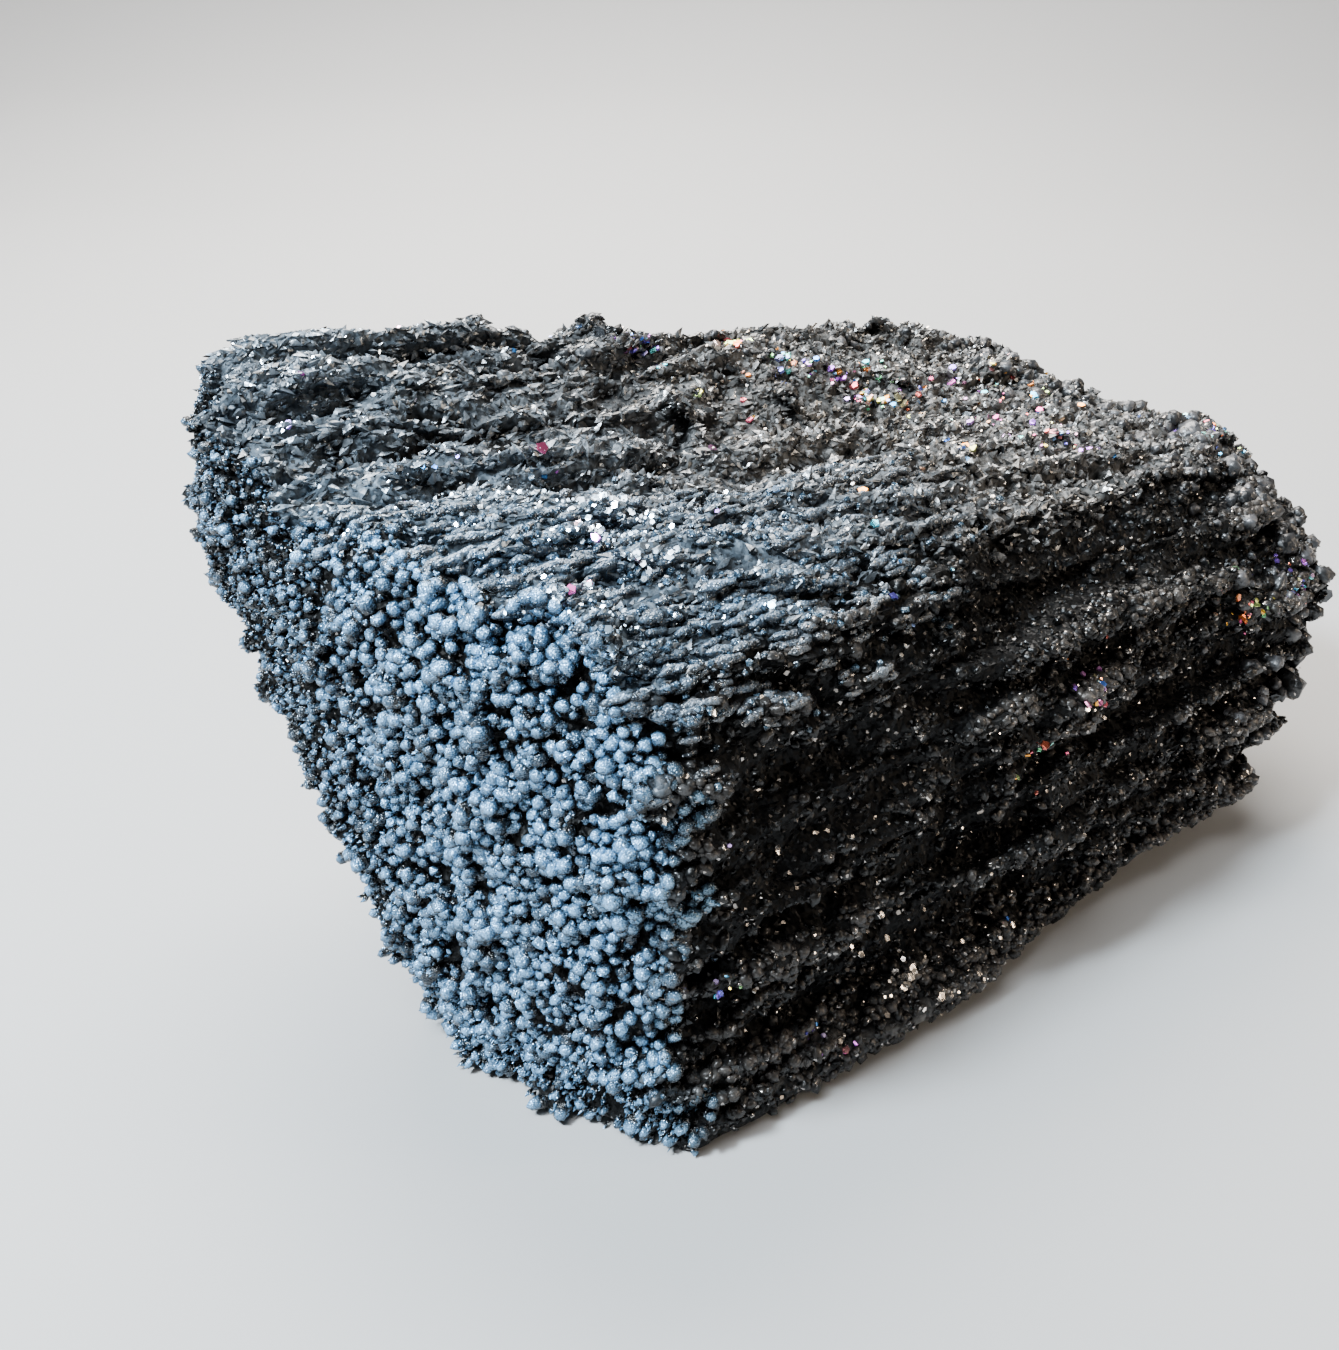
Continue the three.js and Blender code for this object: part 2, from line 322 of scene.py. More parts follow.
def growSpots(kind, chance):
    # chance gives 0 to 1 for a dictionary of arrays, one row for each spot
    random = np.random.default_rng(kind["seed"])
    picked = random.choice(len(triangles), kind["tries"], p=triangleAreas / triangleAreas.sum())
    share = random.random((kind["tries"], 2))
    over = share.sum(axis=1) > 1
    share[over] = 1 - share[over]
    share = np.column_stack([1 - share.sum(axis=1), share])
    corners = triangles[picked]
    spots = {key: np.einsum("nk,nk...->n...", share, values[corners])
             for key, values in massPoints.items()}
    spots["out"] = unit(spots["out"])
    spots.update(sharesAt(spots["place"], spots["out"]))
    wanted = random.random(kind["tries"]) < chance(spots)
    spots = {key: value[wanted] for key, value in spots.items()}
    if "spacing" in kind:
        kept = spaced(spots["place"], kind["spacing"] * mm)
        spots = {key: value[kept] for key, value in spots.items()}
    return spots, random, len(spots["place"])


def tilted(directions, amount, random):
    return unit(directions + amount * random.normal(size=directions.shape))


def turnsTo(axes, along):
    # local z on each axis, and local x as near to along as it can be
    side = unit(along - axes * (along * axes).sum(axis=1, keepdims=True))
    return np.stack([side, np.cross(axes, side), axes], axis=2)


def scatter(name, shapes, spots, centres, turns, sizes, random, **marks):
    # joins a turned and scaled copy of a shape at each centre into one mesh
    # every piece carries the painted cool light
    marks["frost"] = spots["frost"]
    which = random.integers(0, len(shapes), len(centres))
    low, high = boxLow + boxMargin * mm, boxHigh - boxMargin * mm
    points, faces, values, start = [], [], {key: [] for key in ("rise", *marks)}, 0
    for number, (corners, sides, rise) in enumerate(shapes):
        mine = np.flatnonzero(which == number)
        local = corners[None] * sizes[mine][:, None, :]
        placed = np.einsum("nij,nkj->nki", turns[mine], local) + centres[mine][:, None, :]
        inside = ((placed > low) & (placed < high)).all(axis=(1, 2))
        mine, placed = mine[inside], placed[inside]
        offsets = start + np.arange(len(mine)) * len(corners)
        points.append(placed.reshape(-1, 3))
        faces.append((sides[None] + offsets[:, None, None]).reshape(-1, 3))
        values["rise"].append(np.tile(rise, len(mine)))
        for key, numbers in marks.items():
            values[key].append(np.repeat(numbers[mine], len(corners)))
        start += len(mine) * len(corners)
    mesh = bpy.data.meshes.new(name)
    mesh.from_pydata(np.concatenate(points), [], np.concatenate(faces))
    for key, numbers in values.items():
        addValues(mesh, key, np.concatenate(numbers))
    print(name, "made,", len(mesh.polygons), "faces")
    return addObject(name, mesh)


# shapes of about unit size, each uneven in its own way

def shapeOf(work, low=-0.6, high=1.0):
    # corner places, triangles, and how high each corner stands between low and high, which later gives
    # painted shade at each crystal's foot
    bmesh.ops.triangulate(work, faces=work.faces)
    bmesh.ops.recalc_face_normals(work, faces=work.faces)
    work.verts.index_update()
    corners = np.array([v.co for v in work.verts])
    sides = np.array([[v.index for v in f.verts] for f in work.faces])
    work.free()
    return corners, sides, np.clip((corners[:, 2] - low) / (high - low), 0, 1)


def jitter(work, amount, seed):
    random = np.random.default_rng(seed)
    for v in work.verts:
        v.co += Vector(random.uniform(-amount, amount, 3))


def ballShape(seed, uneven):
    # 48 faces
    work = bmesh.new()
    bmesh.ops.create_uvsphere(work, u_segments=8, v_segments=4, radius=1)
    jitter(work, uneven, seed)
    return shapeOf(work)


def lumpShape(seed, uneven):
    # 20 faces
    work = bmesh.new()
    bmesh.ops.create_icosphere(work, subdivisions=1, radius=1)
    jitter(work, uneven, seed)
    return shapeOf(work)


def rodShape(seed, uneven, swell, waves):
    # a knobbly rounded rod that lies along x, 48 faces
    work = bmesh.new()
    bmesh.ops.create_uvsphere(work, u_segments=6, v_segments=5, radius=1)
    for v in work.verts:
        thick = 1 + swell * math.sin(seed + waves * v.co.z)
        v.co = Vector((v.co.z, v.co.y * thick, -v.co.x * thick))
    jitter(work, uneven, seed)
    return shapeOf(work)


def chipShape(seed, uneven):
    # 8 faces
    work = bmesh.new()
    bmesh.ops.create_uvsphere(work, u_segments=4, v_segments=2, radius=1)
    jitter(work, uneven, seed)
    return shapeOf(work)


def plateShape(seed, uneven, sides):
    work = bmesh.new()
    bmesh.ops.create_cone(work, cap_ends=True, segments=sides, radius1=1.0, radius2=0.9, depth=2.0)
    jitter(work, uneven, seed)
    return shapeOf(work, -1, 1)


def variantsOf(shape, kind, *values):
    first, count = kind["variants"]
    return [shape(first + i, kind["uneven"], *values) for i in range(count)]


# nodules: the rounded column tips of the crust, coarser toward the front corner
nodules = {
    "large": {"seed": 41, "tries": 120000, "spacing": 1.15, "radius": (0.45, 1.2), "lift": (-0.25, 0.6),
              "shape": ballShape, "variants": (100, 12), "uneven": 0.13, "share": (0.16, 1.0),
              "behind": 0, "foot": 0, "footLift": 0, "tall": (1.0, 1.7), "pale": 0},
    "small": {"seed": 42, "tries": 160000, "spacing": 0.66, "radius": (0.3, 0.64), "lift": (-0.1, 0.45),
              "shape": lumpShape, "variants": (100, 12), "uneven": 0.2, "share": (0.9, 0.45),
              "behind": 0.25, "foot": 0.7, "footLift": 0, "tall": (1.0, 1.7), "pale": 0},
    "prickly": {"seed": 43, "tries": 420000, "spacing": 0.5, "radius": (0.2, 0.42), "lift": (0.1, 0.6),
                "shape": chipShape, "variants": (100, 12), "uneven": 0.3, "share": (0.5, 0.05),
                "behind": 0, "foot": 0.5, "footLift": 0.5, "tall": (1.2, 2.4), "pale": 0.25},
    "frontBand": (26, -24),  # across the end, in y
    "footBand": (4, 18),     # above the floor, where the tips are slimmer and more pointed
    "clear": (1.5, 4),       # and how far above it those start
    "edge": (0.04, 0.4),     # of the crust
    "gaps": (-0.9, 0.35), "inGaps": 0.05,  # few grow between the columns
    "crests": (-0.8, 1.8),
    "lean": 0.4, "stray": 0.2,  # how much the tips point along the growth, and aside
    "width": (0.85, 1.3),
    "bigger": (0.28, 0.42, 0.3, 0.1),  # on crests, at the front, by chance, with spread
    "paler": (0.4, 0.55, 0.32),        # on crests (painted light, with painted shade in the grooves), at the front, with spread
    "offCrust": 0.3, "footSmaller": 0.22, "footTaller": 0.3,
}
# rods: knobbly column heads behind the crust, on the front of the top and the upper flank
rods = {
    "seed": 45, "tries": 60000, "spacing": 1.05, "radius": (0.4, 0.78), "length": (1.6, 3.6),
    "height": (0.85, 1.2), "lift": (-0.15, 0.4), "variants": (150, 12), "uneven": 0.08,
    "swell": 0.25, "waves": 6.5,
    "front": (-6, 12), "slant": 0.12,  # across the top, in y, and how that runs along the lump
    "high": (46, 64), "highFacing": 6, "reach": (20, 84), "offCrust": (0.5, 0.9),
    "edge": (-6, 0), "underEdge": 0.15, "gaps": (-0.7, 0.9), "inGaps": 0.1, "crests": (-0.8, 1.6),
    "stray": 0.15, "upward": 0.3, "turned": 0.1, "pale": 0.1, "paler": (0.55, 0.3),
}


def rodShare(spots):
    front = fadeOut(*rods["front"], spots["y"] + rods["slant"] * spots["past"])
    high = smoothStep(*rods["high"], spots["z"] + rods["highFacing"] * spots["out"][:, 2])
    near = fadeOut(*rods["reach"], spots["past"])
    rest = fadeOut(*rods["offCrust"], spots["crust"]) * (1 - spots["recess"])
    rest *= atLeast(rods["underEdge"], smoothStep(*rods["edge"], spots["behind"]))
    return front * high * near * rest


def makeNodules(name, kind):
    def chance(spots):
        low = kind["foot"] * fadeOut(*nodules["footBand"], spots["z"])
        low = low * smoothStep(*nodules["clear"], spots["z"])
        front = smoothStep(*nodules["frontBand"], spots["y"])
        share = np.maximum(np.interp(front, (0, 1), kind["share"]), low)
        total = smoothStep(*nodules["edge"], spots["crust"]) * share + kind["behind"] * rodShare(spots)
        gap = smoothStep(*nodules["gaps"], spots["relief"])
        return np.clip(total, 0, 1) * atLeast(nodules["inGaps"], gap)

    spots, random, count = growSpots(kind, chance)
    front = smoothStep(*nodules["frontBand"], spots["y"])
    low = fadeOut(*nodules["footBand"], spots["z"])
    axes = tilted(spots["out"] + nodules["lean"] * growth, nodules["stray"], random)
    turns = turnsTo(axes, random.normal(size=(count, 3)))
    crest = smoothStep(*nodules["crests"], spots["relief"])
    size = summed(0, nodules["bigger"], crest, front, random.random(count), random.normal(size=count))
    size = np.clip(size - nodules["footSmaller"] * low, 0, 1)
    radius = np.interp(size, (0, 1), kind["radius"]) * mm
    tall = random.uniform(*kind["tall"], count) * (1 + nodules["footTaller"] * low)
    stretch = np.column_stack([random.uniform(*nodules["width"], count), np.ones(count), tall])
    lift = np.interp(0.5 * crest + 0.5 * random.random(count), (0, 1), kind["lift"])
    lift += kind["footLift"] * low * front
    centres = spots["place"] + axes * lift[:, None] * mm
    # paler on crests: painted light, with painted shade in the grooves
    tone = summed(kind["pale"], nodules["paler"], crest, front, random.normal(size=count))
    tone *= atLeast(nodules["offCrust"], smoothStep(*nodules["edge"], spots["crust"]))
    return scatter(name, variantsOf(kind["shape"], kind), spots, centres, turns, radius[:, None] * stretch,
                   random, tone=np.clip(tone, 0, 1))


def makeRods():
    def chance(spots):
        return rodShare(spots) * atLeast(rods["inGaps"], smoothStep(*rods["gaps"], spots["relief"]))

    spots, random, count = growSpots(rods, chance)
    axes = tilted(spots["out"], rods["stray"], random)
    along = growth + rods["upward"] * spots["out"] + rods["turned"] * random.normal(size=(count, 3))
    radius = random.uniform(*rods["radius"], count) * mm
    length = random.uniform(*rods["length"], count)
    stretch = np.column_stack([length, np.ones(count), random.uniform(*rods["height"], count)])
    lift = random.uniform(*rods["lift"], count) * mm
    centres = spots["place"] + spots["out"] * lift[:, None]
    crest = smoothStep(*rods["crests"], spots["relief"])
    # paler on crests: painted light, with painted shade in the grooves
    tone = summed(rods["pale"], rods["paler"], crest, random.normal(size=count))
    shapes = variantsOf(rodShape, rods, rods["swell"], rods["waves"])
    return scatter("column_heads", shapes, spots, centres, turnsTo(axes, along), radius[:, None] * stretch,
                   random, tone=np.clip(tone, 0, 1))


# grains: rounded on the flank, where they sit in strings along the ridges, and sharper on the top
grains = {
    "flank": {"seed": 51, "tries": 60000, "radius": (0.32, 0.95), "length": (1.0, 1.6), "streak": 0,
              "shape": lumpShape, "variants": (200, 12), "uneven": 0.2, "tilt": 0.45,
              "low": 0.1, "pale": 0.0},
    "grit": {"seed": 53, "tries": 48000, "radius": (0.24, 0.5), "length": (1.0, 1.8), "streak": 0,
             "shape": chipShape, "variants": (200, 12), "uneven": 0.25, "tilt": 0.45,
             "low": 0.65, "pale": -0.2},
    "top": {"seed": 52, "tries": 112000, "radius": (0.26, 0.8), "length": (1.0, 1.9), "streak": 0.5,
            "shape": chipShape, "variants": (200, 12), "uneven": 0.24, "tilt": 0.42,
            "low": 0.4, "pale": 0.2},
    "crests": (-0.4, 1.5), "litCrests": (-0.4, 2.0), "offCrust": (0.3, 0.8), "clear": (0.6, 2.0),
    "onLedge": 0.5,                # how many more grow on the ledge along the foot
    "fewLarge": 1.6, "ledgeLarger": 0.9,
    "streakBand": (30, -10), "slimmer": 0.35,  # finer streaks toward the nodule end
    "height": (0.8, 1.3), "lift": 0.15,
    "uneven": 0.4, "unevenMore": (0.6, 0.5),   # in tone, and more so on the ledge and in the streaks
    "paler": (0.6, 1, 0.1),        # on crests (painted light, with painted shade in the grooves), by chance, on the ledge
    # painted shade on the grains in the band under the top's front edge
    "recessShade": 0.9,
}


def makeGrains(name, kind, onTop):
    def chance(spots):
        side = spots["top"] if onTop else 1 - spots["top"]
        crest = smoothStep(*grains["crests"], spots["height"])
        share = np.clip(atLeast(kind["low"], crest) + grains["onLedge"] * spots["foot"], 0, 1)
        high = smoothStep(*grains["clear"], spots["z"])
        return side * fadeOut(*grains["offCrust"], spots["crust"]) * share * high

    spots, random, count = growSpots(kind, chance)
    axes = tilted(spots["out"], kind["tilt"], random)
    turns = turnsTo(axes, growth + kind["tilt"] * random.normal(size=(count, 3)))
    rare = grains["fewLarge"] - grains["ledgeLarger"] * spots["foot"]
    radius = np.interp(random.random(count) ** rare, (0, 1), kind["radius"]) * mm
    streak = kind["streak"] * smoothStep(*grains["streakBand"], spots["x"])
    radius *= 1 - grains["slimmer"] * streak
    length = random.uniform(*kind["length"], count) * (1 + streak)
    stretch = np.column_stack([length, np.ones(count), random.uniform(*grains["height"], count)])
    centres = spots["place"] + spots["out"] * (grains["lift"] * radius)[:, None]
    # paler on crests: painted light, with painted shade in the grooves, and painted shade in the band under
    # the top's front edge
    crest = smoothStep(*grains["litCrests"], spots["height"])
    vary = summed(grains["uneven"], grains["unevenMore"], spots["foot"], streak) * random.random(count) ** 2
    tone = summed(kind["pale"], grains["paler"], crest ** 2, vary, spots["foot"])
    tone = np.clip(tone, 0, 1) * (1 - grains["recessShade"] * spots["recess"]) * (1 - spots["rim"])
    return scatter(name, variantsOf(kind["shape"], kind), spots, centres, turns, radius[:, None] * stretch,
                   random, tone=tone)


# flakes: thin slivers that lie in streaks along the top
flakes = {
    "seed": 55, "tries": 60000, "spacing": 0.85, "variants": (250, 12), "uneven": 0.16, "sides": 4,
    "length": (0.4, 1.5), "width": (0.22, 0.56), "thickness": (0.08, 0.18), "lift": (-0.1, 0.3),
    "streaks": (-0.8, 1.2), "offStreaks": 0.15, "above": (30, 50),
    "tilt": 0.36, "turned": 0.24, "lean": 0.15, "pale": 0.4, "spread": 0.3,
}


def makeFlakes():
    def chance(spots):
        streak = smoothStep(*flakes["streaks"], spots["height"])
        high = smoothStep(*flakes["above"], spots["z"])
        return spots["top"] * (1 - spots["crust"]) * atLeast(flakes["offStreaks"], streak) * high

    spots, random, count = growSpots(flakes, chance)
    tilt = flakes["tilt"] * random.normal(size=(count, 3))
    axes = unit(spots["out"] + tilt + flakes["lean"] * growth)
    turns = turnsTo(axes, growth + flakes["turned"] * random.normal(size=(count, 3)))
    sizes = [random.uniform(*flakes[key], count) for key in ("length", "width", "thickness")]
    lift = random.uniform(*flakes["lift"], count) * mm
    centres = spots["place"] + spots["out"] * lift[:, None]
    tone = np.clip(flakes["pale"] + flakes["spread"] * random.normal(size=count), 0, 1)
    return scatter("flakes", variantsOf(plateShape, flakes, flakes["sides"]), spots, centres, turns,
                   np.column_stack(sizes) * mm, random, tone=tone * (1 - spots["rim"]))


# blocks: rounded chunky crystals at the coarse end and along the back rim
blocks = {
    "seed": 57, "tries": 24000, "spacing": 1.6, "variants": (300, 12), "uneven": 0.25,
    "radius": (0.6, 1.9), "stretch": (0.7, 1.35), "lift": (-0.35, 0.15), "tilt": 0.4,
    "start": (40, 72), "slant": 0.12,  # along the lump, and how that runs across it
    "rim": {"share": 0.3, "x": (-50, -20), "y": (24, 34), "z": (62, 70)},
    "crests": (-0.6, 1.2), "offCrests": 0.25, "above": (3, 6),
    "fewLarge": 1.6, "awayFromEnd": 0.4, "fewPale": 1.5,
}


def makeBlocks():
    def chance(spots):
        rim = blocks["rim"]["share"]
        for axis in "yzx":
            rim = rim * smoothStep(*blocks["rim"][axis], spots[axis])
        share = smoothStep(*blocks["start"], spots["x"] - blocks["slant"] * spots["y"]) + rim
        crest = atLeast(blocks["offCrests"], smoothStep(*blocks["crests"], spots["height"]))
        return np.clip(share, 0, 1) * crest * smoothStep(*blocks["above"], spots["z"])

    spots, random, count = growSpots(blocks, chance)
    turns = turnsTo(tilted(spots["out"], blocks["tilt"], random), random.normal(size=(count, 3)))
    atEnd = atLeast(blocks["awayFromEnd"], smoothStep(*blocks["start"], spots["x"]))
    size = random.random(count) ** blocks["fewLarge"] * atEnd
    radius = np.interp(size, (0, 1), blocks["radius"]) * mm
    stretch = random.uniform(*blocks["stretch"], (count, 3))
    centres = spots["place"] + spots["out"] * (random.uniform(*blocks["lift"], count) * radius)[:, None]
    tone = random.random(count) ** blocks["fewPale"]
    return scatter("blocks", variantsOf(ballShape, blocks), spots, centres, turns, radius[:, None] * stretch,
                   random, tone=tone)


# plates: thin dark six-sided crystals, most of them in the hollow
plates = {
    "seed": 61, "tries": 12000, "spacing": 2.2, "variants": (350, 8), "uneven": 0.08, "sides": 6,
    "radius": (0.45, 1.35), "fewLarge": 2, "thickness": (0.12, 0.22), "tilt": 0.7,
    "hollow": {"x": -8, "y": 8, "reachX": 34, "reachY": 14},
    "onTop": 0.05, "inHollow": 0.75, "atEnd": 0.2, "end": (45, 75), "above": (4, 8),
}


def makePlates():
    def chance(spots):
        hollow = plates["hollow"]
        x, y = spots["x"] - hollow["x"], spots["y"] - hollow["y"]
        inHollow = np.exp(-(x / hollow["reachX"]) ** 2 - (y / hollow["reachY"]) ** 2)
        share = (plates["onTop"] + plates["inHollow"] * inHollow) * spots["top"]
        share = share + plates["atEnd"] * smoothStep(*plates["end"], spots["x"])
        return np.clip(share, 0, 1) * (1 - spots["crust"]) * smoothStep(*plates["above"], spots["z"])

    spots, random, count = growSpots(plates, chance)
    turns = turnsTo(tilted(spots["out"], plates["tilt"], random), random.normal(size=(count, 3)))
    radius = np.interp(random.random(count) ** plates["fewLarge"], (0, 1), plates["radius"])
    thick = random.uniform(*plates["thickness"], count)
    sizes = radius[:, None] * np.column_stack([np.ones(count), np.ones(count), thick]) * mm
    tone = random.random(count)
    return scatter("plates", variantsOf(plateShape, plates, plates["sides"]), spots, spots["place"], turns,
                   sizes, random, tone=tone)


# bright faces: small flat faces that catch the light, some under a coloured film
bright = {
    "seed": 71, "tries": 240000, "variants": (400, 12), "uneven": 0.1, "sides": 5,
    "radius": (0.12, 0.34), "fewLarge": 1.8, "thickness": 0.25, "stretch": (0.8, 1.3),
    "filmedScale": 2.3, "clusterScale": 1.5, "flankScale": 1.35, "filmedFlankScale": 0.75,
    # what most of them face, on the top's right and left and on the flank
    "upward": (-0.41, -0.1, 0.907), "leftward": (-0.56, -0.48, 0.67), "frontward": (0.13, -0.7, 0.7),
    "leftBand": (70, 20), "mostly": 0.8, "spread": 0.12, "flankFrom": 0.25,
    "lift": 0.45, "liftOnRods": 0.75, "liftOnFlank": 0.7,
    "onTop": 0.022, "onFront": 0.06, "onFlank": 0.006,  # share of spots outside the clusters
    "front": (-4, 24), "frontReach": (10, 80),
    "crests": (-0.8, 0.8), "above": (2, 4), "recessFewer": 0.7,
    "strayFilms": 0.03, "filmSpread": 0.18,
}

# clusters under a film: place, reach, share of spots, and the film's colour from 0 to 1
filmClusters = [
    ((0, 19, 67), 5, 0.22, 0.03), ((22, 20, 66), 3, 0.7, 0.38), ((27, 18, 63), 4, 0.4, 0.88),
    ((16, 26, 69), 3, 0.35, 0.7), ((6, 31, 73), 2.5, 0.4, 0.0), ((18, -11, 66), 3, 0.4, 0.82),
    ((36, -12, 62), 4, 0.45, 0.42), ((59, 20, 63), 5, 0.18, 0.95), ((72, -10, 57), 6, 0.3, 0.66),
    ((-12, 30, 73), 4, 0.2, 0.56), ((10, -41, 43), 4, 0.22, 0.38), ((0, -44, 34), 3, 0.25, 0.04),
    ((-51, -45, 24), 1.6, 0.5, 0.66), ((-35, -45, 8), 3, 0.2, 0.6), ((49, -40, 39), 5, 0.2, 0.08),
    ((62, -38, 43), 4, 0.16, 0.5), ((-41, 10, 67), 2, 0.12, 0.4), ((-53, 11, 70), 2.5, 0.1, 0.52),
    ((-33, -5, 67), 2, 0.12, 0.58), ((-19, -38, 61), 4, 0.3, 0.66), ((45, 12, 60), 14, 0.03, 0.3),
]
bareClusters = [  # without a film: place, reach, share
    ((-47, -16, 69), 4.5, 0.9), ((-59, -26, 68), 4, 0.4), ((-58, -34, 65), 3, 0.4), ((-46, -25, 68), 5, 0.4),
    ((-45, -41, 60), 5, 0.12), ((-22, -42, 49), 3, 0.2), ((-47, -44, 45), 3, 0.2), ((-6, -42, 12), 5, 0.6),
    ((-66, 28, 75), 8, 0.1), ((-60, 11, 70), 8, 0.16), ((18, 16, 64), 5, 0.12), ((-20, -45, 9), 7, 0.45),
]


def clusterShares(places, clusters):
    # one row for each cluster
    return np.array([share * np.exp(-((places / mm - middle) ** 2).sum(axis=1) / reach ** 2)
                     for middle, reach, share, *colour in clusters])


def makeBrightFaces():
    def chance(spots):
        up = spots["top"]
        front = up * fadeOut(*bright["front"], spots["y"]) * fadeOut(*bright["frontReach"], spots["past"])
        total = up * bright["onTop"] + front * bright["onFront"] + (1 - up) * bright["onFlank"]
        for clusters in (filmClusters, bareClusters):
            total += clusterShares(spots["place"], clusters).sum(axis=0)
        total *= 1 - bright["recessFewer"] * spots["recess"]
        crest = smoothStep(*bright["crests"], spots["height"])
        return total * crest * (1 - spots["crust"]) * smoothStep(*bright["above"], spots["z"])

    spots, random, count = growSpots(bright, chance)
    leftward = smoothStep(*bright["leftBand"], spots["past"])[:, None]
    facing = leftward * bright["leftward"] + (1 - leftward) * bright["upward"]
    onFlank = random.random(count) > spots["top"] + bright["flankFrom"]
    facing = np.where(onFlank[:, None], bright["frontward"], facing)
    facing = np.where(random.random((count, 1)) < bright["mostly"], facing, spots["out"])
    turns = turnsTo(tilted(facing, bright["spread"], random), random.normal(size=(count, 3)))
    # each face under a film takes the colour of the cluster that it most belongs to
    shares = clusterShares(spots["place"], filmClusters)
    total, stray = shares.sum(axis=0), bright["strayFilms"]
    filmed = random.random(count) < total / (total + stray) + stray
    colours = np.array([colour for *cluster, colour in filmClusters])[shares.argmax(axis=0)]
    colours = (colours + bright["filmSpread"] * random.normal(size=count)) % 1
    radius = np.interp(random.random(count) ** bright["fewLarge"], (0, 1), bright["radius"])
    bare = clusterShares(spots["place"], bareClusters).max(axis=0)
    flankScale = np.where(filmed, bright["filmedFlankScale"], bright["flankScale"])
    scale = np.where(filmed, bright["filmedScale"], 1 + bright["clusterScale"] * bare)
    radius *= scale * np.where(onFlank, flankScale, 1)
    stretch = random.uniform(*bright["stretch"], (count, 3))
    sizes = radius[:, None] * [1, 1, bright["thickness"]] * stretch * mm
    raised = np.maximum(rodShare(spots), bright["liftOnFlank"] * onFlank)
    lift = bright["lift"] + bright["liftOnRods"] * raised
    centres = spots["place"] + spots["out"] * lift[:, None] * mm
    tone, film = random.random(count), np.where(filmed, colours, -1)
    return scatter("bright_faces", variantsOf(plateShape, bright, bright["sides"]), spots, centres, turns,
                   sizes, random, tone=tone, film=film)


# shader nodes

def nodeIn(tree, kind, **settings):
    node = tree.nodes.new(kind)
    for key, value in settings.items():
        setattr(node, key, value)
    return node


def attributeIn(tree, name):
    return nodeIn(tree, "ShaderNodeAttribute", attribute_name=name).outputs["Fac"]


def mapRange(tree, value, fromRange, toRange):
    node = nodeIn(tree, "ShaderNodeMapRange")
    tree.links.new(value, node.inputs[0])
    for socket, number in zip(node.inputs[1:5], (*fromRange, *toRange)):
        socket.default_value = number
    return node.outputs[0]


def combine(tree, operation, a, b):
    node = nodeIn(tree, "ShaderNodeMath", operation=operation)
    for socket, value in zip(node.inputs, (a, b)):
        if isinstance(value, (int, float)):
            socket.default_value = value
        else:
            tree.links.new(value, socket)
    return node.outputs[0]


def mixColours(tree, share, a, b):
    node = nodeIn(tree, "ShaderNodeMix", data_type="RGBA")
    tree.links.new(share, node.inputs[0])
    for socket, value in ((node.inputs[6], a), (node.inputs[7], b)):
        if isinstance(value, tuple):
            socket.default_value = (*value, 1)
        else:
            tree.links.new(value, socket)
    return node.outputs[2]


def newGroup(name, inputs, outputs):
    group = bpy.data.node_groups.new(name, "ShaderNodeTree")
    for label in inputs:
        group.interface.new_socket(label, in_out="INPUT", socket_type="NodeSocketFloat")
    for label, kind in outputs.items():
        group.interface.new_socket(label, in_out="OUTPUT", socket_type="NodeSocket" + kind)
    return group, nodeIn(group, "NodeGroupInput"), nodeIn(group, "NodeGroupOutput")


def makeGlitterGroup():
    # turns the normal a little differently in each tiny cell, as small crystal faces do
    outputs = {"Normal": "Vector", "Cell": "Float", "Height": "Float"}
    group, start, end = newGroup("crystalGlitter", ("Cell Size", "Amount"), outputs)
    place = nodeIn(group, "ShaderNodeTexCoord")
    cells = nodeIn(group, "ShaderNodeTexVoronoi", feature="F1")
    middle = nodeIn(group, "ShaderNodeVectorMath", operation="SUBTRACT")
    middle.inputs[1].default_value = (0.5, 0.5, 0.5)
    amount = nodeIn(group, "ShaderNodeVectorMath", operation="SCALE")
    geometry = nodeIn(group, "ShaderNodeNewGeometry")
    total = nodeIn(group, "ShaderNodeVectorMath", operation="ADD")
    length = nodeIn(group, "ShaderNodeVectorMath", operation="NORMALIZE")
    split = nodeIn(group, "ShaderNodeSeparateColor")
    link = group.links.new
    link(place.outputs["Object"], cells.inputs["Vector"])
    link(combine(group, "DIVIDE", 1, start.outputs["Cell Size"]), cells.inputs["Scale"])
    link(cells.outputs["Color"], middle.inputs[0])
    link(middle.outputs[0], amount.inputs[0])
    link(start.outputs["Amount"], amount.inputs["Scale"])
    link(geometry.outputs["Normal"], total.inputs[0])
    link(amount.outputs[0], total.inputs[1])
    link(total.outputs[0], length.inputs[0])
    link(length.outputs[0], end.inputs["Normal"])
    link(cells.outputs["Color"], split.inputs[0])
    link(split.outputs[0], end.inputs["Cell"])
    link(combine(group, "SUBTRACT", 1, cells.outputs["Distance"]), end.inputs["Height"])
    return group


filmColours = [
    (0.0, (0.9, 0.46, 0.05)), (0.14, (0.9, 0.22, 0.05)), (0.3, (0.88, 0.13, 0.4)),
    (0.46, (0.45, 0.17, 0.9)), (0.6, (0.09, 0.25, 0.9)), (0.72, (0.1, 0.65, 0.88)),
    (0.86, (0.25, 0.85, 0.4)), (1.0, (0.92, 0.75, 0.16)),
]


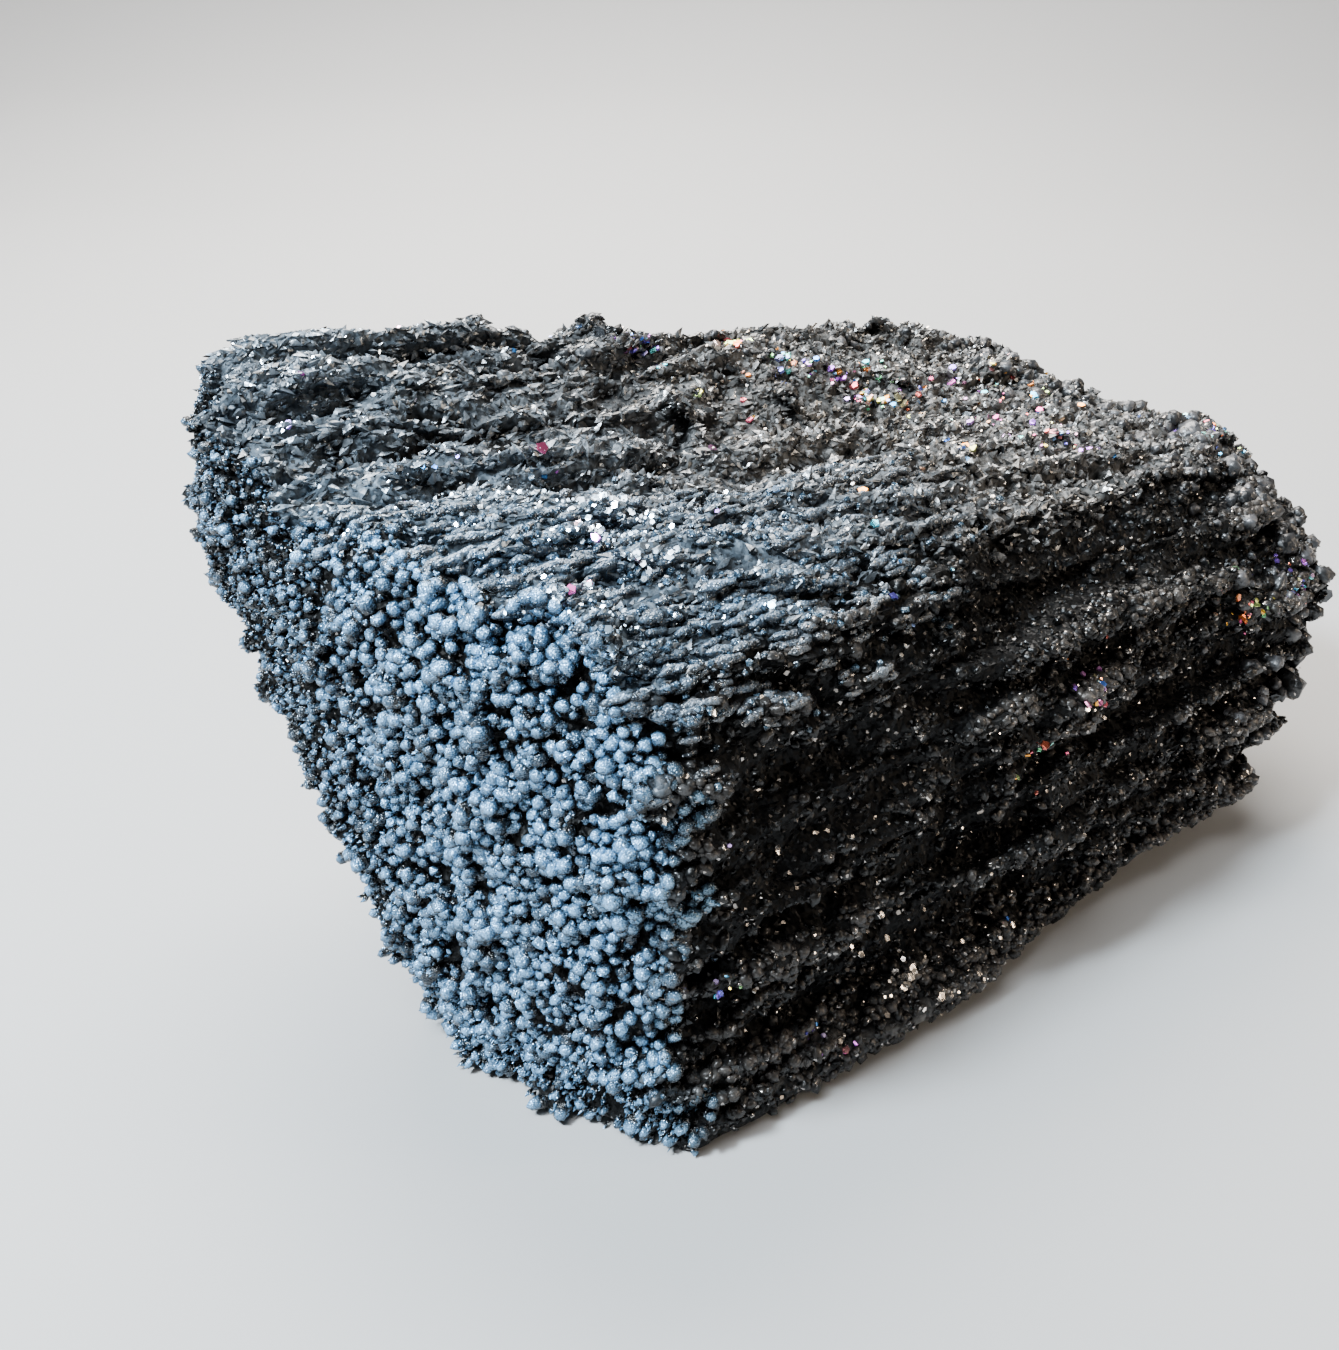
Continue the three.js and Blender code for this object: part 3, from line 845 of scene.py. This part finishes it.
def makeFilmGroup():
    # the colours of the thin glassy film that some faces carry; below 0 there is none
    group, start, end = newGroup("filmColour", ("Film",), {"Color": "Color", "Mask": "Float"})
    ramp = nodeIn(group, "ShaderNodeValToRGB")
    ramp.color_ramp.elements.remove(ramp.color_ramp.elements[1])
    ramp.color_ramp.elements[0].color = (*filmColours[0][1], 1)
    for at, colour in filmColours[1:]:
        ramp.color_ramp.elements.new(at).color = (*colour, 1)
    link = group.links.new
    link(start.outputs["Film"], ramp.inputs[0])
    link(ramp.outputs[0], end.inputs["Color"])
    link(combine(group, "GREATER_THAN", start.outputs["Film"], -0.5), end.inputs["Mask"])
    return group


glitterGroup = makeGlitterGroup()
filmGroup = makeFilmGroup()

crystal = {  # what a finish has unless it says otherwise; a spark is a cell that shines
    # rise gives painted shade at the foot of each crystal, and the under band gives painted shade on faces
    # that look down
    "riseFrom": "rise", "riseRange": (0, 1.0), "flecks": (0.5, 1.3), "sparks": 0.03,
    "fleckBand": (0.35, 0.65), "underBand": (-0.5, 0.5),
    "sparkEdge": 0.001, "sparkShare": 0.8, "sparkRoughness": 0.35, "sparkMetallic": 0.9,
    # sparks are bluer under the painted cool light
    "plainSpark": (0.45, 0.4, 0.36), "paintedCoolLitSpark": (0.4, 0.52, 0.62),
    "thickFilm": (0.95, 0.9, 0.92), "thickFrom": (0.55, 1), "thickShare": (0, 0.5),
}


def crystalMaterial(finish):
    finish = {**crystal, **finish}
    material = bpy.data.materials.new(finish["name"])
    material.use_nodes = True
    tree = material.node_tree
    shader = tree.nodes["Principled BSDF"]
    link = tree.links.new
    fleck = nodeIn(tree, "ShaderNodeTexNoise")
    fleck.inputs["Scale"].default_value = finish["fleckScale"]
    link(nodeIn(tree, "ShaderNodeTexCoord").outputs["Object"], fleck.inputs["Vector"])
    glitter = nodeIn(tree, "ShaderNodeGroup", node_tree=glitterGroup)
    glitter.inputs["Cell Size"].default_value = finish["cell"] * mm
    glitter.inputs["Amount"].default_value = finish["glitter"]
    outward = nodeIn(tree, "ShaderNodeSeparateXYZ")
    link(nodeIn(tree, "ShaderNodeNewGeometry").outputs["Normal"], outward.inputs[0])

    # paler with height (painted shade low in grooves and at each crystal's foot), fleck and tone, and painted
    # shade on faces that look down
    lit = mapRange(tree, attributeIn(tree, finish["riseFrom"]), finish["riseRange"], (0, 1))
    for share in (mapRange(tree, fleck.outputs[0], crystal["fleckBand"], finish["flecks"]),
                  mapRange(tree, attributeIn(tree, "tone"), (0, 1), finish["tone"]),
                  mapRange(tree, outward.outputs[2], crystal["underBand"], (finish["under"], 1))):
        lit = combine(tree, "MULTIPLY", lit, share)
    # painted cool light: blue-grey where it falls, the plain colour elsewhere
    frost = attributeIn(tree, "frost")
    pale = mixColours(tree, frost, finish["plain"], finish["paintedCoolLit"])
    colour = mixColours(tree, lit, finish["deep"], pale)
    cell = glitter.outputs["Cell"]
    sparkBand = (1 - finish["sparks"], 1 + crystal["sparkEdge"] - finish["sparks"])
    spark = mapRange(tree, cell, sparkBand, (0, 1))
    sparkColour = mixColours(tree, frost, crystal["plainSpark"], crystal["paintedCoolLitSpark"])
    colour = mixColours(tree, combine(tree, "MULTIPLY", spark, crystal["sparkShare"]), colour, sparkColour)
    if "filmed" in finish:
        film = nodeIn(tree, "ShaderNodeGroup", node_tree=filmGroup)
        link(attributeIn(tree, "film"), film.inputs["Film"])
        thick = mapRange(tree, attributeIn(tree, "tone"), crystal["thickFrom"], crystal["thickShare"])
        filmed = mixColours(tree, thick, film.outputs["Color"], crystal["thickFilm"])
        colour = mixColours(tree, film.outputs["Mask"], colour, filmed)
    link(colour, shader.inputs["Base Color"])

    smoother = mapRange(tree, spark, (0, 1), (1, crystal["sparkRoughness"]))
    roughness = combine(tree, "MULTIPLY", mapRange(tree, cell, (0, 1), finish["roughness"]), smoother)
    link(roughness, shader.inputs["Roughness"])
    metallic = mapRange(tree, spark, (0, 1), (finish["metallic"], crystal["sparkMetallic"]))
    link(metallic, shader.inputs["Metallic"])
    normal = glitter.outputs["Normal"]
    if "bump" in finish:
        bump = nodeIn(tree, "ShaderNodeBump")
        bump.inputs["Strength"].default_value = finish["bump"]
        bump.inputs["Distance"].default_value = finish["bumpDepth"] * mm
        link(glitter.outputs["Height"], bump.inputs["Height"])
        link(normal, bump.inputs["Normal"])
        normal = bump.outputs[0]
    link(normal, shader.inputs["Normal"])
    shader.inputs["IOR"].default_value = finish["ior"]
    return material


massFinish = {
    "name": "crystalMass", "riseFrom": "height", "riseRange": (-0.3, 1.9),
    "flecks": (0.4, 1.4), "tone": (0.05, 1.0), "fleckScale": 900, "under": 0.5,
    "deep": (0.0005, 0.0005, 0.0006), "plain": (0.2, 0.191, 0.18), "paintedCoolLit": (0.17, 0.24, 0.31),
    "roughness": (0.4, 0.75), "metallic": 0.05, "ior": 1.25, "cell": 0.45, "glitter": 0.9, "sparks": 0.04,
}
noduleFinish = {
    "name": "noduleTips", "riseRange": (0.44, 1.0),
    "flecks": (0.55, 1.2), "tone": (0.14, 1.75), "fleckScale": 1500, "under": 0.06,
    "deep": (0.001, 0.0016, 0.0022), "plain": (0.18, 0.34, 0.48), "paintedCoolLit": (0.26, 0.56, 0.9),
    "roughness": (0.18, 0.38), "metallic": 0.5, "ior": 2.3, "cell": 0.3, "glitter": 0.6,
    "bump": 0.8, "bumpDepth": 0.2,
}
rodFinish = {
    "name": "columnHeads", "riseRange": (0.25, 0.95),
    "flecks": (0.5, 1.2), "tone": (0.35, 1.2), "fleckScale": 1100, "under": 0.15,
    "deep": (0.001, 0.0015, 0.002), "plain": (0.2, 0.215, 0.23), "paintedCoolLit": (0.25, 0.39, 0.55),
    "roughness": (0.22, 0.45), "metallic": 0.35, "ior": 2.1, "cell": 0.4, "glitter": 0.8, "sparks": 0.07,
    "bump": 0.8, "bumpDepth": 0.25,
}
# the same crystal as the top grains in painted shade: much darker, with a weaker reflection
flankGrainFinish = {
    "name": "flankGrains", "flecks": (0.6, 1.2), "tone": (0.03, 1.2), "fleckScale": 1200, "under": 0.3,
    "deep": (0.001, 0.001, 0.001), "plain": (0.11, 0.094, 0.082), "paintedCoolLit": (0.13, 0.16, 0.19),
    "roughness": (0.22, 0.5), "metallic": 0.25, "ior": 1.45, "cell": 0.4, "glitter": 0.5, "sparks": 0.05,
}
# paler than the flank grains: painted light from the lamp above and behind
topGrainFinish = {
    "name": "topGrains", "flecks": (0.6, 1.2), "tone": (0.3, 1.2), "fleckScale": 1200, "under": 0.5,
    "deep": (0.002, 0.0022, 0.0024), "plain": (0.48, 0.455, 0.43), "paintedCoolLit": (0.34, 0.46, 0.58),
    "roughness": (0.2, 0.45), "metallic": 0.35, "ior": 1.9, "cell": 0.32, "glitter": 0.3, "sparks": 0.07,
}
# paler like the top grains: painted light from the lamp above and behind
flakeFinish = {
    "name": "flakeFaces", "riseFrom": "tone", "tone": (0.3, 1.2), "fleckScale": 900, "under": 0.4,
    "deep": (0.003, 0.0035, 0.004), "plain": (0.38, 0.362, 0.342), "paintedCoolLit": (0.28, 0.37, 0.46),
    "roughness": (0.18, 0.4), "metallic": 0.45, "ior": 2.0, "cell": 0.5, "glitter": 0.2, "sparks": 0.08,
}
blockFinish = {
    "name": "blockFaces", "riseRange": (-0.2, 1.0), "tone": (0.15, 1.2), "fleckScale": 800, "under": 0.25,
    "deep": (0.002, 0.002, 0.002), "plain": (0.14, 0.136, 0.14), "paintedCoolLit": (0.14, 0.18, 0.22),
    "roughness": (0.25, 0.55), "metallic": 0.3, "ior": 1.7, "cell": 0.5, "glitter": 0.5,
}
plateFinish = {
    "name": "plateFaces", "riseFrom": "tone", "tone": (0.4, 1.2), "fleckScale": 700, "under": 0.6,
    "deep": (0.004, 0.0045, 0.005), "plain": (0.06, 0.064, 0.07), "paintedCoolLit": (0.08, 0.1, 0.12),
    "roughness": (0.12, 0.3), "metallic": 0.6, "ior": 2.0, "cell": 1.0, "glitter": 0.08,
}
brightFinish = {
    "name": "brightFaces", "riseFrom": "tone", "riseRange": (-0.6, 1.0),
    "flecks": (0.8, 1.1), "tone": (0.8, 1.2), "fleckScale": 700, "under": 1.0,
    "deep": (0.25, 0.22, 0.2), "plain": (0.8, 0.7, 0.6), "paintedCoolLit": (0.62, 0.82, 1.0),
    "roughness": (0.12, 0.3), "metallic": 0.9, "ior": 2.0, "cell": 1.0, "glitter": 0.06, "sparks": 0.0,
    "filmed": True,
}

dressed = [  # piece, finish, and whether its faces are smooth
    (massObject, massFinish, False),
    (makeNodules("nodules_large", nodules["large"]), noduleFinish, True),
    (makeNodules("nodules_small", nodules["small"]), noduleFinish, False),
    (makeNodules("nodules_prickly", nodules["prickly"]), noduleFinish, False),
    (makeRods(), rodFinish, True),
    (makeGrains("grains_flank", grains["flank"], False), flankGrainFinish, True),
    (makeGrains("grit_flank", grains["grit"], False), flankGrainFinish, False),
    (makeGrains("grains_top", grains["top"], True), topGrainFinish, False),
    (makeFlakes(), flakeFinish, False),
    (makeBlocks(), blockFinish, True),
    (makePlates(), plateFinish, False),
    (makeBrightFaces(), brightFinish, False),
]
madeMaterials = {}
for piece, finish, smooth in dressed:
    if finish["name"] not in madeMaterials:
        madeMaterials[finish["name"]] = crystalMaterial(finish)
    piece.data.materials.clear()
    piece.data.materials.append(madeMaterials[finish["name"]])
    if smooth:
        piece.data.shade_smooth()
    else:
        piece.data.shade_flat()
    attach(piece, "root")
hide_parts("crystal_lump")
print("materials given")


# the floor bends up into a wall; its lengths and the lamps' are in metres
stage = {
    "floorColour": (0.48, 0.474, 0.468), "roughness": 0.75,
    "front": -4.0, "back": 0.35, "halfWidth": 4.0,
    "bendRadius": 1.6, "bendPoints": 13, "wallHeight": 2.5,
    "turn": -35.0,  # the wall faces the camera
    # the far floor, out of the lamps' reach, is kept pale by a glow that lights nothing else
    "glow": (0.78, 0.775, 0.77),
    "glowFrom": (0.62, 1.4),
    "wallShare": 0.5,  # how much further off the glow starts toward the wall
    "backdrop": (0.8, 0.8, 0.8),
    "fill": (0.9, 0.95, 1.0),
    "fillStrength": 0.06,
}

lights = {  # place, aim, size, power, colour
    "key": ((-0.43, 0.04, 0.55), (0, 0, 0.04), 0.14, 13.5, (0.76, 0.89, 1.0)),
    "high": ((-0.28, -0.12, 0.62), (0, 0, 0.04), 0.3, 2.2, (0.93, 0.97, 1.0)),
    "warm": ((0.5, -0.4, 0.28), (0, 0, 0.04), 0.14, 1.6, (1.0, 0.84, 0.66)),
    "back": ((0.16, 0.42, 0.6), (0, 0, 0.05), 0.6, 12.5, (1.0, 0.96, 0.9)),
    "wash": ((0.25, 0.45, 1.1), (0.9, 1.3, 0.3), 1.0, 26.0, (1.0, 0.98, 0.96)),
}


def floorMaterial(turn):
    material = bpy.data.materials.new("paleFloor")
    material.use_nodes = True
    tree = material.node_tree
    shader = tree.nodes["Principled BSDF"]
    shader.inputs["Base Color"].default_value = (*stage["floorColour"], 1)
    shader.inputs["Roughness"].default_value = stage["roughness"]
    away = nodeIn(tree, "ShaderNodeVectorMath", operation="LENGTH")
    towardWall = nodeIn(tree, "ShaderNodeVectorMath", operation="DOT_PRODUCT")
    towardWall.inputs[1].default_value = turn @ Vector((0, stage["wallShare"], 0))
    place = nodeIn(tree, "ShaderNodeTexCoord").outputs["Object"]
    for node in (away, towardWall):
        tree.links.new(place, node.inputs[0])
    reach = combine(tree, "SUBTRACT", away.outputs["Value"], towardWall.outputs["Value"])
    far = mapRange(tree, reach, stage["glowFrom"], (0, 1))
    glow = combine(tree, "MULTIPLY", far, nodeIn(tree, "ShaderNodeLightPath").outputs["Is Camera Ray"])
    tree.links.new(mixColours(tree, glow, (0, 0, 0), stage["glow"]), shader.inputs["Emission Color"])
    shader.inputs["Emission Strength"].default_value = 1
    return material


def makeFloor():
    work = bmesh.new()
    radius = stage["bendRadius"]
    bend = [(stage["back"] + radius * math.sin(a), radius * (1 - math.cos(a)))
            for a in np.linspace(0, math.pi / 2, stage["bendPoints"])]
    line = [(stage["front"], 0), *bend, (bend[-1][0], stage["wallHeight"])]
    points = [work.verts.new((-stage["halfWidth"], y, z)) for y, z in line]
    edges = [work.edges.new(pair) for pair in zip(points, points[1:])]
    made = bmesh.ops.extrude_edge_only(work, edges=edges)
    moved = [v for v in made["geom"] if isinstance(v, bmesh.types.BMVert)]
    bmesh.ops.translate(work, verts=moved, vec=(2 * stage["halfWidth"], 0, 0))
    turn = Matrix.Rotation(math.radians(stage["turn"]), 3, "Z")
    bmesh.ops.rotate(work, verts=work.verts, matrix=turn)
    bmesh.ops.recalc_face_normals(work, faces=work.faces)
    mesh = bpy.data.meshes.new("floor")
    work.to_mesh(mesh)
    work.free()
    mesh.shade_smooth()
    mesh.materials.append(floorMaterial(turn))
    addObject("floor", mesh)


def makeLight(name, place, aim, size, power, colour):
    data = bpy.data.lights.new(name, "AREA")
    data.shape = "DISK"
    data.size = size
    data.energy = power
    data.color = colour
    lamp = addObject(name, data)
    lamp.location = place
    away = Vector(aim) - lamp.location
    lamp.rotation_euler = away.to_track_quat("-Z", "Y").to_euler()


def makeWorld():
    # a faint fill light; the camera sees a plain pale backdrop
    world = bpy.data.worlds.new("studio")
    world.use_nodes = True
    tree = world.node_tree
    fill = tree.nodes["Background"]
    fill.inputs["Color"].default_value = (*stage["fill"], 1)
    fill.inputs["Strength"].default_value = stage["fillStrength"]
    backdrop = nodeIn(tree, "ShaderNodeBackground")
    backdrop.inputs["Color"].default_value = (*stage["backdrop"], 1)
    mix = nodeIn(tree, "ShaderNodeMixShader")
    tree.links.new(nodeIn(tree, "ShaderNodeLightPath").outputs["Is Camera Ray"], mix.inputs[0])
    tree.links.new(fill.outputs[0], mix.inputs[1])
    tree.links.new(backdrop.outputs[0], mix.inputs[2])
    tree.links.new(mix.outputs[0], tree.nodes["World Output"].inputs["Surface"])
    bpy.context.scene.world = world


makeFloor()
for name, values in lights.items():
    makeLight(name, *values)
makeWorld()
print("floor and light set")
